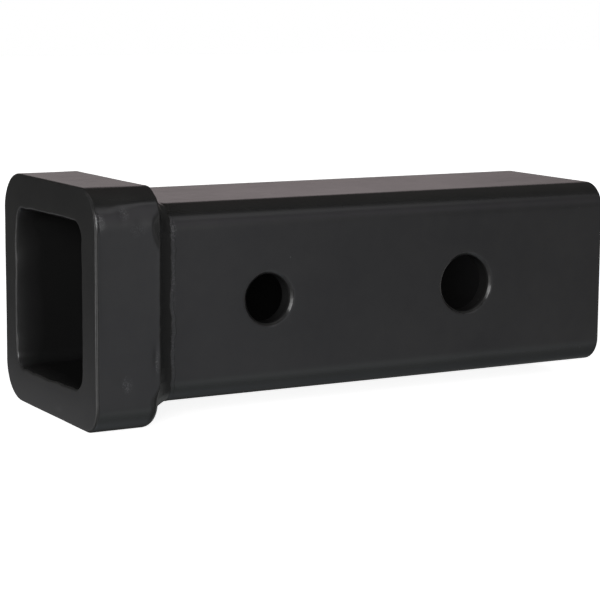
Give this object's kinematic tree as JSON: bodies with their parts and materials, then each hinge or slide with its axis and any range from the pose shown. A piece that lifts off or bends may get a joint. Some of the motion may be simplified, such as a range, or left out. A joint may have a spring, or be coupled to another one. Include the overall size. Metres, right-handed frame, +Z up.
{
  "type": "hitch reducer sleeve",
  "caption": "Welded square steel sleeve with a stop collar that reduces a 2-1/2 in hitch receiver to a 2 in square socket, with cross pin holes through both side walls.",
  "frame": {"origin": "centre of the square socket's mouth, in the plane of the front face", "axes": "+X runs along the socket from the mouth to the rear end, +Z is up, and both pin holes run along Y"},
  "size_m": [0.1969, 0.0762, 0.0762],
  "materials": {
    "powder_coat": "satin black powder coat on ground and sawn steel",
    "weld_coat": "satin black powder coat over a rippled weld bead"
  },
  "bodies": {
    "root": {"sleeve_tube": "powder_coat", "collar_band": "powder_coat", "rear_weld_bead": "weld_coat", "front_seam_weld": "powder_coat"}
  },
  "joints": []
}
